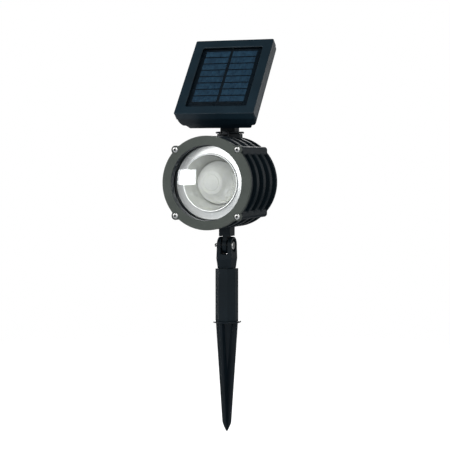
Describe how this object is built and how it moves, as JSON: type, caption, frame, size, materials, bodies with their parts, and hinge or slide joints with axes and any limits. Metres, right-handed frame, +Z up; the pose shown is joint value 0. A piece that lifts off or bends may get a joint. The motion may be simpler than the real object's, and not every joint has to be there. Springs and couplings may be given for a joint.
{
  "type": "solar garden spotlight",
  "caption": "Garden spotlight on a ground spike, with a finned round lamp head on a tilting knuckle and a tilting, swivelling solar panel above it.",
  "frame": {"origin": "on the stake's axis at the underside of the ground flange, which is the soil line", "axes": "+Z up along the stake, the lamp shines towards -Y at rest, +X to the viewer's right when facing the lamp"},
  "size_m": [0.094, 0.102, 0.4074],
  "materials": {
    "black_plastic": "satin",
    "spike_plastic": "satin",
    "bezel_paint": "satin",
    "steel": "satin",
    "lens_glass": "gloss",
    "pane": "gloss",
    "reflector_chrome": "polished",
    "frosted_optic": "satin",
    "led_board_white": "satin",
    "phosphor": "gloss",
    "aluminium": "satin",
    "rubber_black": "matte",
    "lead_sheath": "satin",
    "solar_blue": "gloss",
    "solar_backing": "gloss",
    "ribbon_tin": "satin",
    "battery_sleeve": "gloss",
    "tray_plastic": "matte",
    "contact_nickel": "satin",
    "board_green": "satin",
    "component_black": "satin",
    "button_plastic": "satin"
  },
  "bodies": {
    "stake": {"ground_spike": "spike_plastic", "post_tube": "black_plastic", "knuckle_fork": "black_plastic", "pivot_bolt": "steel", "pivot_nut": "steel", "friction_washers": "steel"},
    "lamp_head": {"head_housing": "black_plastic", "front_bezel": "bezel_paint", "bezel_screws": "steel", "front_lens": "lens_glass", "lens_gasket": "rubber_black", "reflector": "reflector_chrome", "led_optic": "frosted_optic", "led_board": "led_board_white", "led_emitter": "phosphor", "heat_spreader": "aluminium", "spreader_screws": "steel", "head_lead": "lead_sheath", "swivel_lock_screw": "steel"},
    "swivel": {"swivel_yoke": "black_plastic", "swivel_retainer": "steel", "swivel_oring": "rubber_black", "neck_lead": "lead_sheath"},
    "panel": {"panel_bezel": "black_plastic", "panel_window": "pane", "solar_board": "solar_backing", "solar_cells": "solar_blue", "cell_ribbons": "ribbon_tin", "panel_gasket": "rubber_black", "rear_shell": "black_plastic", "panel_screws": "steel", "battery_door": "black_plastic", "door_seal": "rubber_black", "door_screws": "steel", "battery_cells": "battery_sleeve", "battery_tray": "tray_plastic", "battery_springs": "steel", "battery_contacts": "contact_nickel", "charge_board": "board_green", "board_components": "component_black", "panel_lead": "lead_sheath", "cable_grommet": "rubber_black", "switch_body": "component_black", "switch_boot": "rubber_black", "tilt_bolt": "steel", "tilt_nut": "steel"},
    "button": {"power_button": "button_plastic"}
  },
  "joints": [
    {"name": "head_tilt", "type": "hinge", "parent": "stake", "child": "lamp_head", "pos_m": [0, 0, 0.0801], "axis": [1, 0, 0], "range_deg": [-80, 45]},
    {"name": "panel_swivel", "type": "hinge", "parent": "lamp_head", "child": "swivel", "pos_m": [0, 0.0085, 0.1955], "axis": [0, 0, 1], "range_deg": [-160, 160]},
    {"name": "panel_tilt", "type": "hinge", "parent": "swivel", "child": "panel", "pos_m": [0, 0.0085, 0.2178], "axis": [1, 0, 0], "range_deg": [-50, 8]},
    {"name": "power_button", "type": "slide", "parent": "panel", "child": "button", "axis": [0, -0.7771, 0.6293], "range_m": [0, 0.0015], "stiffness_N_per_m": 1200}
  ]
}
